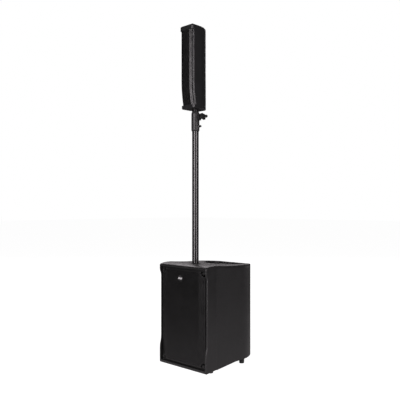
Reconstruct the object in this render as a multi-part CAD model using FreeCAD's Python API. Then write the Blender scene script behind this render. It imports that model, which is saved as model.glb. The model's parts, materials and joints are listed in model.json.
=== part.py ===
import FreeCAD
import Part

import math
import os

# Column loudspeaker system: a bass cabinet on the floor, a two-part pole in its top deck with a
# sliding inner tube and a clamp collar, and a slim satellite column of eight small drivers.
# Millimetres. +Z is up, the front faces -Y, and the origin is on the floor under the middle
# of the bass cabinet.

Vector = FreeCAD.Vector
RIGHT = Vector(1, 0, 0)
BACKWARD = Vector(0, 1, 0)
UP = Vector(0, 0, 1)

# ---- driving dimensions: bass cabinet ----
CAB_WIDTH = 345.0
CAB_DEPTH = 430.0
CAB_TOP = 541.0
HALF_W = CAB_WIDTH / 2
FRONT = -CAB_DEPTH / 2
BACK = CAB_DEPTH / 2
PANEL_T = 15.0
BEZEL_BACK = FRONT + 80.0           # the moulded front ring is 80 mm deep
SIDE_BEND = FRONT + 280.0           # the sides are straight up to here, then curve inwards
SIDE_RADIUS = 200.0                 # outer radius of the curved rear of each side
BEZEL_LOW = 5.5                     # front ring's lower edge above the floor
BEZEL_HIGH = 534.0                  # front ring's upper front edge
BOTTOM_FRONT_Z = 13.0               # underside at the back of the front ring
BOTTOM_REAR_Z = 27.0                # underside towards the rear
SEAM_FRONT_Z = 525.0                # joint between sides and top deck, front end
SEAM_BACK_Z = 502.0                 # and rear end

# ---- front ring, grille and baffle ----
RIM = 9.0                           # width of the ring's side rails
WINDOW_HALF = HALF_W - RIM
WINDOW_LOW = 21.0
WINDOW_HIGH = 522.5
RAIL_SETBACK = 9.5                  # the side rails stand back this far at mid height
LEDGE_Y = -196.0                    # ledge that carries the grille
LEDGE_T = 6.0
LEDGE_W = 13.5
GRILLE_FRONT = -210.0
GRILLE_T = 1.6
GRILLE_FLAT_HALF = 115.5
GRILLE_EDGE_HALF = 155.5
GRILLE_BEVEL = 6.7
GRILLE_LOW = 31.0
GRILLE_HIGH = 513.0
NOTCH_R = 14.0                      # round notch at each grille corner
BOSS_X = 146.0
BOSS_INSET_Z = 9.0
BOSS_R = 8.0
BAFFLE_T = 18.0
BAFFLE_FRONT = BEZEL_BACK - BAFFLE_T
PORT_X = 100.0
PORT_Z = 470.0
PORT_R = 35.0
BADGE_X = -15.0                     # the badge sits a little to one side
BADGE_Z = 468.0
BADGE_R = 16.0
BADGE_T = 2.4
FOOT_X = HALF_W - 24.0
FOOT_YS = (FRONT + 58.0, FRONT + 305.0)

# ---- woofer, 12 inch class ----
WOOFER_Z = 270.0
FLANGE_R = 153.0
FLANGE_T = 6.0
BASKET_R = 139.0
CUTOUT_R = 141.0
CONE_R = 122.0
CONE_T = 1.5
COIL_R = 37.5
BASKET_BACK = -75.0
MAGNET_R = 78.0
MAGNET_BACK = -37.0
CONE_FRONT = BAFFLE_FRONT - FLANGE_T + 1
CONE_BACK = -110.0
COIL_BACK = -60.0

# ---- rear panel ----
PANEL_Y = 190.0                     # inner face of the amplifier plate
PANEL_PLATE_T = 3.0
PANEL_OUT = PANEL_Y + PANEL_PLATE_T
PANEL_HALF = 100.0
PANEL_LOW = 46.0
PANEL_HIGH = 450.0
CONTROL_Z = 300.0
SOCKET_Z = 238.0
OUTPUT_Z = 165.0
MAINS_Z = 92.0
KNOB_XS = (-58.0, -18.0)
BUTTON_XS = (22.0, 46.0)
LIGHT_XS = (68.0, 78.0, 88.0)
INPUT_XS = (-58.0, -14.0)
LINK_X = 46.0
MAINS_X = 38.0
ROCKER_X = -24.0
ROCKER_PIVOT_Y = 188.0
ROCKER_TILT = 10.0                  # degrees either side of the middle

# ---- hand scoop in the top deck ----
SCOOP_R = 115.0
SCOOP_Y = 122.0
SCOOP_FLOOR = 462.0
GRIP_Y = 182.0                      # front face of the rear grip
GRIP_LOW = 490.0
GRIP_HOLLOW_BACK = 203.0
SCOOP_WALL = 6.0

# ---- pole ----
POLE_Y = FRONT + 101.0
POLE_R = 17.5
INNER_R = 15.0
RUNNING_GAP = 0.08
TUBE_BORE_R = INNER_R + RUNNING_GAP
POLE_FOOT_Z = 436.0
POLE_JOINT_Z = 909.0
COLLAR_LOW = 1238.0
COLLAR_HIGH = 1346.0
COLLAR_R = 21.4
UPPER_POLE_TOP = 1330.0
CLAMP_Z = 1312.0
INDEX_Z = 1262.6
INNER_POLE_LOW = 942.0
INNER_POLE_TOP = 1390.0
LIFT_HEIGHT = 300.0
PAD_R = 5.0
SCREW_R = 4.0
KNOB_X = 49.5                       # inner face of the clamp knob, outside the satellite's side
LEVER_LENGTH = 24.0
LEVER_BALL_R = 8.0
PIN_R = 3.0
PIN_BALL_R = 6.0
DECK_AT_POLE = 535.5
SOCKET_FLANGE_R = 31.0
SOCKET_R = 22.5
SOCKET_WALL_LOW = 430.0

# ---- satellite ----
SAT_LOW = 1352.0
SAT_HIGH = 1787.0
SAT_HALF = 47.0
SAT_RAIL_FRONT = POLE_Y - 62.0
SAT_CAP_FRONT = POLE_Y - 70.0        # front of the top cap
SAT_FOOT_FRONT = POLE_Y - 60.0       # front of the bottom cap
SAT_BACK = POLE_Y + 56.0
SAT_SIDE_BEND = POLE_Y - 12.0        # the sides are straight up to here, then curve inwards
SAT_SIDE_R = 113.0                   # outer radius of the curved rear of each side
SAT_CORNER_R = 12.0
SAT_RAIL_R = 8.0                     # rounding of the front edge rails
SAT_CAP_R = 10.0
SAT_INLET_Z = 1440.0
CUP_R = 19.0
SAT_BOTTOM_CAP_TOP = 1371.0
SAT_TOP_CAP_LOW = 1761.0
SAT_WALL = 3.0
SAT_RAIL_W = 6.0
SAT_GRILLE_HALF = 37.0
SAT_GRILLE_FLAT_HALF = 23.0
SAT_GRILLE_BEVEL = 7.0               # how far the bevelled sides fall back
SAT_GRILLE_RETURN = 3.0
SAT_BAFFLE_HALF = 43.0
SAT_BAFFLE_Y = SAT_RAIL_FRONT + 18.0
SAT_BAFFLE_T = 4.0
SAT_BEND_Z = 1508.0                 # below here the front curves back
SAT_BEND_R = 690.0
DRIVER_COUNT = 8
DRIVER_PITCH = 44.0
DRIVER_FIRST_Z = 1412.0
DRIVER_R = 21.0


# ---- shared helpers ----
def block(x_low, x_high, y_low, y_high, z_low, z_high):
    """A box between two corners."""
    return Part.makeBox(x_high - x_low, y_high - y_low, z_high - z_low, Vector(x_low, y_low, z_low))


def rod(radius, start, axis, length):
    """A solid cylinder from a start point along an axis."""
    return Part.makeCylinder(radius, length, start, axis)


def tube(outer, inner, start, axis, length):
    """A hollow cylinder."""
    return rod(outer, start, axis, length).cut(rod(inner, start, axis, length))


def polygon(points):
    """A closed wire through a list of vectors."""
    return Part.makePolygon(points + [points[0]])


def side_prism(points, x_low, x_high):
    """A prism along X from an outline of (y, z) points."""
    outline = polygon([Vector(x_low, y, z) for y, z in points])
    return Part.Face(outline).extrude(Vector(x_high - x_low, 0, 0))


def turned(points, x, z):
    """A solid turned about a line along Y, from an outline of (radius, y) points."""
    outline = polygon([Vector(x + radius, y, z) for radius, y in points])
    return Part.Face(outline).revolve(Vector(x, 0, z), BACKWARD, 360)


def joined(shapes):
    """Shapes fused into one, with the seams between faces removed."""
    return shapes[0].multiFuse(shapes[1:]).removeSplitter()


def export(name, *solids):
    """Write one node: a single solid, or a group of separate solids."""
    shape = solids[0] if len(solids) == 1 else Part.makeCompound(list(solids))
    shape.exportStep(os.path.join("parts", name + ".step"))


def plan_prism(inset, y_front, y_back, z_low, z_high):
    """The cabinet's plan, inset evenly, between two heights: straight sides, then curved rear sides."""
    half = HALF_W - inset
    radius = SIDE_RADIUS - inset
    centre_x = HALF_W - SIDE_RADIUS
    end_angle = math.asin((y_back - SIDE_BEND) / radius)
    end_x = centre_x + radius * math.cos(end_angle)
    mid_x = centre_x + radius * math.cos(end_angle / 2)
    mid_y = SIDE_BEND + radius * math.sin(end_angle / 2)

    def at(x, y):
        return Vector(x, y, z_low)

    edges = [
        Part.makeLine(at(-half, y_front), at(half, y_front)),
        Part.makeLine(at(half, y_front), at(half, SIDE_BEND)),
        Part.Arc(at(half, SIDE_BEND), at(mid_x, mid_y), at(end_x, y_back)).toShape(),
        Part.makeLine(at(end_x, y_back), at(-end_x, y_back)),
        Part.Arc(at(-end_x, y_back), at(-mid_x, mid_y), at(-half, SIDE_BEND)).toShape(),
        Part.makeLine(at(-half, SIDE_BEND), at(-half, y_front)),
    ]
    return Part.Face(Part.Wire(edges)).extrude(Vector(0, 0, z_high - z_low))


def underside(drop):
    """(y, z) points along the cabinet's underside behind the front ring, lowered by drop."""
    rear_z = BOTTOM_REAR_Z - drop
    return [(BEZEL_BACK, BOTTOM_FRONT_Z - drop), (BEZEL_BACK + 148, rear_z), (BACK, rear_z)]


def plan_slice(inset, y_front, y_back, z_low, z_high):
    """The part of the cabinet's plan between two distances from front to back."""
    whole = plan_prism(inset, BEZEL_BACK, BACK - 1, z_low, z_high)
    return whole.common(block(-HALF_W, HALF_W, y_front, y_back, z_low, z_high))


# ---- bass cabinet: woodwork ----
def build_cabinet_sides():
    """Two bent panels, cut to the tapering side outline."""
    wall = plan_prism(0, BEZEL_BACK, BACK, 0, CAB_TOP)
    wall = wall.cut(plan_prism(PANEL_T, BEZEL_BACK - 1, BACK + 1, -1, CAB_TOP + 1))
    outline = underside(0) + [(BACK, SEAM_BACK_Z), (BEZEL_BACK, SEAM_FRONT_Z)]
    wall = wall.common(side_prism(outline, -HALF_W - 1, HALF_W + 1))
    right = wall.common(block(0, HALF_W + 1, FRONT, BACK, 0, CAB_TOP))
    left = wall.common(block(-HALF_W - 1, 0, FRONT, BACK, 0, CAB_TOP))
    export("cabinet_sides", left, right)


def build_cabinet_bottom():
    """Floor panel between the sides."""
    low = underside(0)
    high = [(y, z + PANEL_T) for y, z in reversed(low)]
    floor = plan_prism(PANEL_T, BEZEL_BACK, PANEL_Y + 6, 0, 60)
    export("cabinet_bottom", floor.common(side_prism(low + high, -HALF_W, HALF_W)))


def build_rear_rails():
    """Two wooden rails between the sides that carry the amplifier panel."""
    rails = []
    for z_low, z_high in ((BOTTOM_REAR_Z + PANEL_T, 72.0), (424.0, 454.0)):
        rails.append(plan_slice(PANEL_T, PANEL_Y - 12, PANEL_Y, z_low, z_high))
    export("rear_rails", *rails)


def build_front_baffle():
    """Front board with the woofer cut-out and two port holes."""
    board = block(-WINDOW_HALF, WINDOW_HALF, BAFFLE_FRONT, BEZEL_BACK, WINDOW_LOW, WINDOW_HIGH)
    board = board.cut(rod(CUTOUT_R, Vector(0, BAFFLE_FRONT - 1, WOOFER_Z), BACKWARD, BAFFLE_T + 2))
    for x in (-PORT_X, PORT_X):
        board = board.cut(rod(PORT_R, Vector(x, BAFFLE_FRONT - 1, PORT_Z), BACKWARD, BAFFLE_T + 2))
    export("front_baffle", board.cut(pole_socket_space()))


def build_ports():
    """Reflex port tubes with flared mouths."""
    ports = []
    for x in (-PORT_X, PORT_X):
        body = tube(PORT_R, PORT_R - 3, Vector(x, BAFFLE_FRONT, PORT_Z), BACKWARD, 90)
        lip = turned([(PORT_R - 3, BAFFLE_FRONT), (PORT_R + 7, BAFFLE_FRONT),
                      (PORT_R + 7, BAFFLE_FRONT - 2), (PORT_R, BAFFLE_FRONT - 4)], x, PORT_Z)
        ports.append(body.fuse(lip))
    export("port_tubes", *ports)


# ---- bass cabinet: mouldings ----
def build_front_bezel():
    """Moulded ring round the grille. Its side rails stand back between the top and bottom corners."""
    def at(y, z):
        return Vector(-HALF_W, y, z)

    set_back = FRONT + RAIL_SETBACK
    low_turn, low_straight = 78.0, 158.0
    high_straight, high_turn = 468.0, 512.0
    lower_s = Part.BezierCurve()
    lower_s.setPoles([at(FRONT, low_turn), at(FRONT, 115), at(set_back, 115), at(set_back, low_straight)])
    upper_s = Part.BezierCurve()
    upper_s.setPoles([at(set_back, high_straight), at(set_back, 492), at(FRONT, 490), at(FRONT, high_turn)])
    top_roll = Part.BezierCurve()
    top_roll.setPoles([at(FRONT, BEZEL_HIGH - 8), at(FRONT, BEZEL_HIGH + 1), at(FRONT + 14, CAB_TOP - 2),
                       at(FRONT + 50, CAB_TOP)])
    edges = [
        Part.makeLine(at(BEZEL_BACK, BOTTOM_FRONT_Z), at(FRONT + 8, BEZEL_LOW)),
        Part.Arc(at(FRONT + 8, BEZEL_LOW), at(FRONT + 2.3, BEZEL_LOW + 2.3),
                 at(FRONT, BEZEL_LOW + 8)).toShape(),
        Part.makeLine(at(FRONT, BEZEL_LOW + 8), at(FRONT, low_turn)),
        lower_s.toShape(),
        Part.makeLine(at(set_back, low_straight), at(set_back, high_straight)),
        upper_s.toShape(),
        Part.makeLine(at(FRONT, high_turn), at(FRONT, BEZEL_HIGH - 8)),
        top_roll.toShape(),
        Part.makeLine(at(FRONT + 50, CAB_TOP), at(BEZEL_BACK, CAB_TOP)),
        Part.makeLine(at(BEZEL_BACK, CAB_TOP), at(BEZEL_BACK, BOTTOM_FRONT_Z)),
    ]
    ring = Part.Face(Part.Wire(edges)).extrude(Vector(CAB_WIDTH, 0, 0))
    corner_edges = [edge for edge in ring.Edges
                    if abs(abs(edge.CenterOfMass.x) - HALF_W) < 0.01 and edge.BoundBox.YMax < FRONT + 52]
    ring = ring.makeFillet(5.0, corner_edges)
    window = block(-WINDOW_HALF, WINDOW_HALF, FRONT - 5, BEZEL_BACK + 5, WINDOW_LOW, WINDOW_HIGH)
    ring = ring.cut(window)
    ledge = block(-WINDOW_HALF, WINDOW_HALF, LEDGE_Y, LEDGE_Y + LEDGE_T, WINDOW_LOW, WINDOW_HIGH)
    open_half = WINDOW_HALF - LEDGE_W
    ledge = ledge.cut(block(-open_half, open_half, LEDGE_Y - 1, LEDGE_Y + LEDGE_T + 1,
                            WINDOW_LOW + LEDGE_W, WINDOW_HIGH - LEDGE_W))
    pieces = [ring, ledge]
    for x, z in corner_boss_places():
        web_x = sorted((x - math.copysign(BOSS_R, x), math.copysign(WINDOW_HALF, x)))
        web_z = (WINDOW_LOW, z + BOSS_R) if z < WOOFER_Z else (z - BOSS_R, WINDOW_HIGH)
        pieces.append(block(web_x[0], web_x[1], LEDGE_Y, LEDGE_Y + LEDGE_T, web_z[0], web_z[1]))
        pieces.append(rod(BOSS_R, Vector(x, LEDGE_Y - 10, z), BACKWARD, 10 + LEDGE_T))
    export("front_bezel", joined(pieces).cut(pole_socket_space()))


def corner_boss_places():
    """Centres (x, z) of the four corner bosses that the grille is screwed to."""
    low = GRILLE_LOW + BOSS_INSET_Z
    high = GRILLE_HIGH - BOSS_INSET_Z
    return [(x, z) for x in (-BOSS_X, BOSS_X) for z in (low, high)]


def build_grille():
    """Bent steel grille: flat middle, bevelled sides, returned edges and a round notch at each corner."""
    front, back = GRILLE_FRONT, GRILLE_FRONT + GRILLE_BEVEL
    edge_back = LEDGE_Y
    outer = [(-GRILLE_EDGE_HALF, edge_back), (-GRILLE_EDGE_HALF, back), (-GRILLE_FLAT_HALF, front),
             (GRILLE_FLAT_HALF, front), (GRILLE_EDGE_HALF, back), (GRILLE_EDGE_HALF, edge_back)]
    inner_half = GRILLE_EDGE_HALF - GRILLE_T
    inner = [(inner_half, edge_back), (inner_half, back + GRILLE_T), (GRILLE_FLAT_HALF, front + GRILLE_T),
             (-GRILLE_FLAT_HALF, front + GRILLE_T), (-inner_half, back + GRILLE_T),
             (-inner_half, edge_back)]
    outline = polygon([Vector(x, y, GRILLE_LOW) for x, y in outer + inner])
    sheet = Part.Face(outline).extrude(Vector(0, 0, GRILLE_HIGH - GRILLE_LOW))
    for x, z in corner_boss_places():
        corner_x = sorted((x, math.copysign(GRILLE_EDGE_HALF + 5, x)))
        corner_z = (GRILLE_LOW - 5, z) if z < WOOFER_Z else (z, GRILLE_HIGH + 5)
        notch = rod(NOTCH_R, Vector(x, FRONT, z), BACKWARD, 40)
        notch = notch.fuse(block(corner_x[0], corner_x[1], FRONT, FRONT + 40, z - NOTCH_R, z + NOTCH_R))
        notch = notch.fuse(block(x - NOTCH_R, x + NOTCH_R, FRONT, FRONT + 40, corner_z[0], corner_z[1]))
        sheet = sheet.cut(notch)
    export("woofer_grille", sheet)


def build_grille_details():
    """Foam behind the grille, its corner screws and the round badge."""
    foam = block(-148, 148, LEDGE_Y - 5, LEDGE_Y, WINDOW_LOW + 18, WINDOW_HIGH - 18)
    for x, z in corner_boss_places():
        foam = foam.cut(block(x - 20, x + 20, FRONT, BAFFLE_FRONT, z - 20, z + 20))
    export("grille_foam", foam)
    screws = []
    for x, z in corner_boss_places():
        head = rod(4.5, Vector(x, LEDGE_Y - 12.5, z), BACKWARD, 2.5)
        screws.append(head.cut(rod(2.0, Vector(x, LEDGE_Y - 13, z), BACKWARD, 1.6)))
    badge_front = GRILLE_FRONT - BADGE_T
    badge = turned([(0, GRILLE_FRONT), (BADGE_R, GRILLE_FRONT), (BADGE_R, badge_front + 1.2),
                    (BADGE_R - 1.5, badge_front), (0, badge_front)], BADGE_X, BADGE_Z)
    export("badge", badge)
    return screws


def build_top_deck():
    """Top moulding with a hand scoop, a rear grip over it and a rib down the scoop's middle."""
    def at(y, z):
        return Vector(-HALF_W, y, z)

    roll = 16.0
    roll_top = 523.0
    turn = 1 - math.cos(math.radians(45))
    crest = Part.BSplineCurve()
    crest.interpolate([at(BEZEL_BACK, CAB_TOP), at(-75, 536), at(5, 531.5), at(65, 530), at(125, 527.5),
                       at(BACK - roll, roll_top)])
    edges = [
        crest.toShape(),
        Part.Arc(at(BACK - roll, roll_top), at(BACK - roll * turn, roll_top - roll * turn),
                 at(BACK, roll_top - roll)).toShape(),
        Part.makeLine(at(BACK, roll_top - roll), at(BACK, SEAM_BACK_Z)),
        Part.makeLine(at(BACK, SEAM_BACK_Z), at(BEZEL_BACK, SEAM_FRONT_Z)),
        Part.makeLine(at(BEZEL_BACK, SEAM_FRONT_Z), at(BEZEL_BACK, CAB_TOP)),
    ]
    band = Part.Face(Part.Wire(edges)).extrude(Vector(CAB_WIDTH, 0, 0))
    plate = band.common(plan_prism(0, BEZEL_BACK, BACK, 480, CAB_TOP + 5))
    long_edges = [edge for edge in plate.Edges if on_deck_side(edge)]
    plate = plate.makeFillet(6.0, long_edges)

    bowl_front = SCOOP_Y - SCOOP_R - 5
    bowl_floor = SCOOP_FLOOR - SCOOP_WALL
    bowl = side_prism([(bowl_front, 515), (bowl_front, 494), (40, 468), (150, bowl_floor),
                       (209, bowl_floor), (209, 512)], -SCOOP_R - 5, SCOOP_R + 5)
    bowl = bowl.common(rod(SCOOP_R + 5, Vector(0, SCOOP_Y, 400), UP, 200))
    rear_wall = plan_slice(PANEL_T, 197, 209, SCOOP_FLOOR - SCOOP_WALL, 508)
    rib = block(-6, 6, 10, GRIP_HOLLOW_BACK, SCOOP_FLOOR - 1, 523)
    hollow = side_prism([(SCOOP_Y - SCOOP_R, 560), (SCOOP_Y - SCOOP_R, 500), (42, 474), (150, SCOOP_FLOOR),
                         (GRIP_HOLLOW_BACK, SCOOP_FLOOR), (GRIP_HOLLOW_BACK, GRIP_LOW), (GRIP_Y, GRIP_LOW),
                         (GRIP_Y, 560)], -SCOOP_R, SCOOP_R)
    hollow = hollow.common(rod(SCOOP_R, Vector(0, SCOOP_Y, 400), UP, 200))
    deck = plate.fuse(bowl).fuse(rear_wall).cut(hollow)
    deck = deck.fuse(rib.common(rod(SCOOP_R + 2, Vector(0, SCOOP_Y, 400), UP, 200)))
    export("top_deck", deck.cut(pole_socket_space()).removeSplitter())


def on_deck_side(edge):
    """True for the deck's upper edges along its sides, which are rounded over."""
    middle = edge.valueAt((edge.FirstParameter + edge.LastParameter) / 2)
    return edge.Length > 100 and abs(middle.x) > 100 and middle.z > 521


def pole_socket_space():
    """Room for the pole socket and its flange, cut out of the pieces round it."""
    cup = rod(SOCKET_R + 0.1, Vector(0, POLE_Y, SOCKET_WALL_LOW), UP, 120)
    return cup.fuse(rod(SOCKET_FLANGE_R, Vector(0, POLE_Y, DECK_AT_POLE), UP, 30))


def build_pole_socket():
    """Flanged cup in the deck that the pole stands in, with its screws."""
    cup = rod(SOCKET_R, Vector(0, POLE_Y, SOCKET_WALL_LOW), UP, DECK_AT_POLE - SOCKET_WALL_LOW)
    rim = Vector(0, POLE_Y, DECK_AT_POLE)
    flange = Part.makeCone(SOCKET_FLANGE_R - 0.1, SOCKET_FLANGE_R - 3, 3.0, rim, UP)
    cup = cup.fuse(flange).cut(rod(POLE_R + RUNNING_GAP, Vector(0, POLE_Y, POLE_FOOT_Z), UP, 200))
    screws = []
    for index in range(3):
        angle = math.radians(30 + 120 * index)
        place = Vector(26 * math.cos(angle), POLE_Y + 26 * math.sin(angle), DECK_AT_POLE + 1.2)
        cup = cup.cut(rod(2.6, place, UP, 4))
        screws.append(rod(2.5, place, UP, 1.5).cut(rod(1.2, place + Vector(0, 0, 0.7), UP, 2)))
    export("pole_socket", cup)
    return screws


def build_feet():
    """Four tapered rubber feet, trimmed to the sloping underside, each with a recessed screw."""
    slope = (BOTTOM_FRONT_Z - BEZEL_LOW) / (BEZEL_BACK - FRONT - 8)
    outline = [(FRONT, 0), (FRONT, BEZEL_LOW - 8 * slope), (BEZEL_BACK, BOTTOM_FRONT_Z)]
    outline = outline + underside(0)[1:] + [(BACK, 0)]
    space = side_prism(outline, -HALF_W, HALF_W)
    feet = []
    screws = []
    for x in (-FOOT_X, FOOT_X):
        for y in FOOT_YS:
            foot = Part.makeCone(13.0, 15.5, 40, Vector(x, y, 0), UP).common(space)
            foot = foot.cut(rod(5.5, Vector(x, y, 0), UP, 8))
            feet.append(foot)
            screws.append(rod(4.0, Vector(x, y, 5), UP, 3).cut(rod(1.8, Vector(x, y, 5), UP, 1.5)))
    export("feet", *feet)
    return screws


# ---- woofer ----
def build_woofer():
    """Pressed basket, magnet, surround, spider and screws, and the moving cone with its coil and cap."""
    flange_front = BAFFLE_FRONT - FLANGE_T
    basket = turned([(BASKET_R, flange_front), (FLANGE_R, flange_front), (FLANGE_R, BAFFLE_FRONT),
                     (CUTOUT_R - 0.5, BAFFLE_FRONT), (83, BASKET_BACK), (83, BASKET_BACK + 4),
                     (COIL_R + 1, BASKET_BACK + 4), (COIL_R + 1, BASKET_BACK), (79, BASKET_BACK),
                     (BASKET_R - 3, BAFFLE_FRONT + 2)], 0, WOOFER_Z)
    for index in range(6):
        opening = block(-28, 28, -125, BASKET_BACK - 8, 60, 150)
        opening.translate(Vector(0, 0, WOOFER_Z))
        opening.rotate(Vector(0, 0, WOOFER_Z), BACKWARD, 60 * index)
        basket = basket.cut(opening)
    export("woofer_basket", basket)

    magnet = rod(MAGNET_R, Vector(0, BASKET_BACK + 4, WOOFER_Z), BACKWARD, MAGNET_BACK - BASKET_BACK - 4)
    gap = tube(COIL_R + 1, COIL_R - 3, Vector(0, BASKET_BACK + 3, WOOFER_Z), BACKWARD, 22)
    export("woofer_magnet", magnet.cut(gap))

    roll_r = (BASKET_R - CONE_R) / 2
    roll_mid = CONE_R + roll_r
    base_y = flange_front - 1

    def on_roll(radius, degrees):
        angle = math.radians(degrees)
        return (roll_mid + radius * math.cos(angle), base_y - radius * math.sin(angle))

    outer_roll = [on_roll(roll_r, degrees) for degrees in range(0, 180, 20)]
    inner_roll = [on_roll(roll_r - 1, degrees) for degrees in range(160, 0, -20)]
    surround = turned([(FLANGE_R - 8, flange_front), (FLANGE_R - 8, base_y)] + outer_roll
                      + [(CONE_R + 0.6, base_y), (CONE_R + 0.6, flange_front), (CONE_R + 1.3, flange_front)]
                      + inner_roll + [(BASKET_R, flange_front)], 0, WOOFER_Z)
    export("woofer_surround", surround)
    export("woofer_spider", tube(90, COIL_R + 0.6, Vector(0, -93, WOOFER_Z), BACKWARD, 1.5))

    cone = turned([(CONE_R, CONE_FRONT), (CONE_R, CONE_FRONT + CONE_T), (COIL_R, CONE_BACK + CONE_T),
                   (COIL_R, CONE_BACK)], 0, WOOFER_Z)
    export("woofer_cone", cone)
    cap = turned([(0, CONE_BACK - 14), (18, CONE_BACK - 11), (32, CONE_BACK - 2.5), (COIL_R, CONE_BACK),
                  (COIL_R - 1, CONE_BACK + 1), (31, CONE_BACK - 1), (17, CONE_BACK - 9.5),
                  (0, CONE_BACK - 12.5)], 0, WOOFER_Z)
    export("woofer_dust_cap", cap)
    coil_front = CONE_BACK + CONE_T
    coil = tube(COIL_R, COIL_R - 1.5, Vector(0, coil_front, WOOFER_Z), BACKWARD, COIL_BACK - coil_front)
    export("woofer_voice_coil", coil)

    screws = []
    for index in range(8):
        angle = math.radians(22.5 + 45 * index)
        place = Vector(149 * math.cos(angle), flange_front - 2.5, WOOFER_Z + 149 * math.sin(angle))
        screws.append(rod(3.5, place, BACKWARD, 2.5))
    export("woofer_screws", *screws)


# ---- amplifier at the rear ----
def build_amp_panel():
    """Metal rear plate with its cut-outs, and the screws round it."""
    plate = block(-PANEL_HALF, PANEL_HALF, PANEL_Y, PANEL_OUT, PANEL_LOW, PANEL_HIGH)
    for x in KNOB_XS:
        plate = plate.cut(rod(3.6, Vector(x, PANEL_Y - 1, CONTROL_Z), BACKWARD, 5))
    for x in BUTTON_XS:
        plate = plate.cut(rod(4.3, Vector(x, PANEL_Y - 1, CONTROL_Z), BACKWARD, 5))
    for x in LIGHT_XS:
        plate = plate.cut(rod(1.6, Vector(x, PANEL_Y - 1, CONTROL_Z), BACKWARD, 5))
    for x, z in round_socket_places():
        plate = plate.cut(rod(12.1, Vector(x, PANEL_Y - 1, z), BACKWARD, 5))
    for x, half_x, half_z in ((MAINS_X, 14.1, 11.1), (ROCKER_X, 12.1, 17.1)):
        plate = plate.cut(block(x - half_x, x + half_x, PANEL_Y - 1, PANEL_OUT + 1,
                                MAINS_Z - half_z, MAINS_Z + half_z))
    export("amp_panel", plate)
    screws = []
    for x in (-PANEL_HALF + 7, 0, PANEL_HALF - 7):
        for z in (PANEL_LOW + 7, PANEL_HIGH - 5):
            screws.append(panel_screw(x, z))
    for x in (-PANEL_HALF + 7, PANEL_HALF - 7):
        screws.append(panel_screw(x, (PANEL_LOW + PANEL_HIGH) / 2))
    export("amp_panel_screws", *screws)


def panel_screw(x, z):
    """A pan-head screw on the rear plate with a round drive recess."""
    head = Part.makeCone(4.0, 3.0, 2.4, Vector(x, PANEL_OUT, z), BACKWARD)
    return head.cut(rod(1.5, Vector(x, PANEL_OUT + 1.2, z), BACKWARD, 2))


def round_socket_places():
    """Centres (x, z) of every round socket on the rear plate."""
    return [(x, SOCKET_Z) for x in INPUT_XS] + [(LINK_X, SOCKET_Z), (INPUT_XS[0], OUTPUT_Z)]


def flanged_socket(x, z, bore_r, bore_depth):
    """A round panel socket: square flange outside the plate, body through it, blind round bore."""
    flange = block(x - 13, x + 13, PANEL_OUT, PANEL_OUT + 2, z - 15.5, z + 15.5)
    body = rod(12, Vector(x, PANEL_Y - 24, z), BACKWARD, 24 + PANEL_PLATE_T)
    collar = rod(11.5, Vector(x, PANEL_OUT + 2, z), BACKWARD, 1.5)
    socket = flange.fuse(body).fuse(collar)
    return socket.cut(rod(bore_r, Vector(x, PANEL_OUT + 3.5 - bore_depth, z), BACKWARD, bore_depth + 1))


def build_sockets():
    """Two combined inputs, a link output and the satellite output."""
    inputs = []
    for x in INPUT_XS:
        socket = flanged_socket(x, SOCKET_Z, 9.2, 22)
        inputs.append(socket)
    export("input_sockets", *inputs)
    link = flanged_socket(LINK_X, SOCKET_Z, 9.6, 18)
    floor_y = PANEL_OUT + 3.5 - 18
    for dx, dz in ((-4.2, 2.2), (4.2, 2.2), (0, -4.6)):
        link = link.fuse(rod(1.2, Vector(LINK_X + dx, floor_y - 1, SOCKET_Z + dz), BACKWARD, 12))
    output = flanged_socket(INPUT_XS[0], OUTPUT_Z, 10.0, 20)
    post = rod(6.0, Vector(INPUT_XS[0], PANEL_OUT + 3.5 - 21, OUTPUT_Z), BACKWARD, 12)
    export("output_sockets", link, output.fuse(post))


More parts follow.
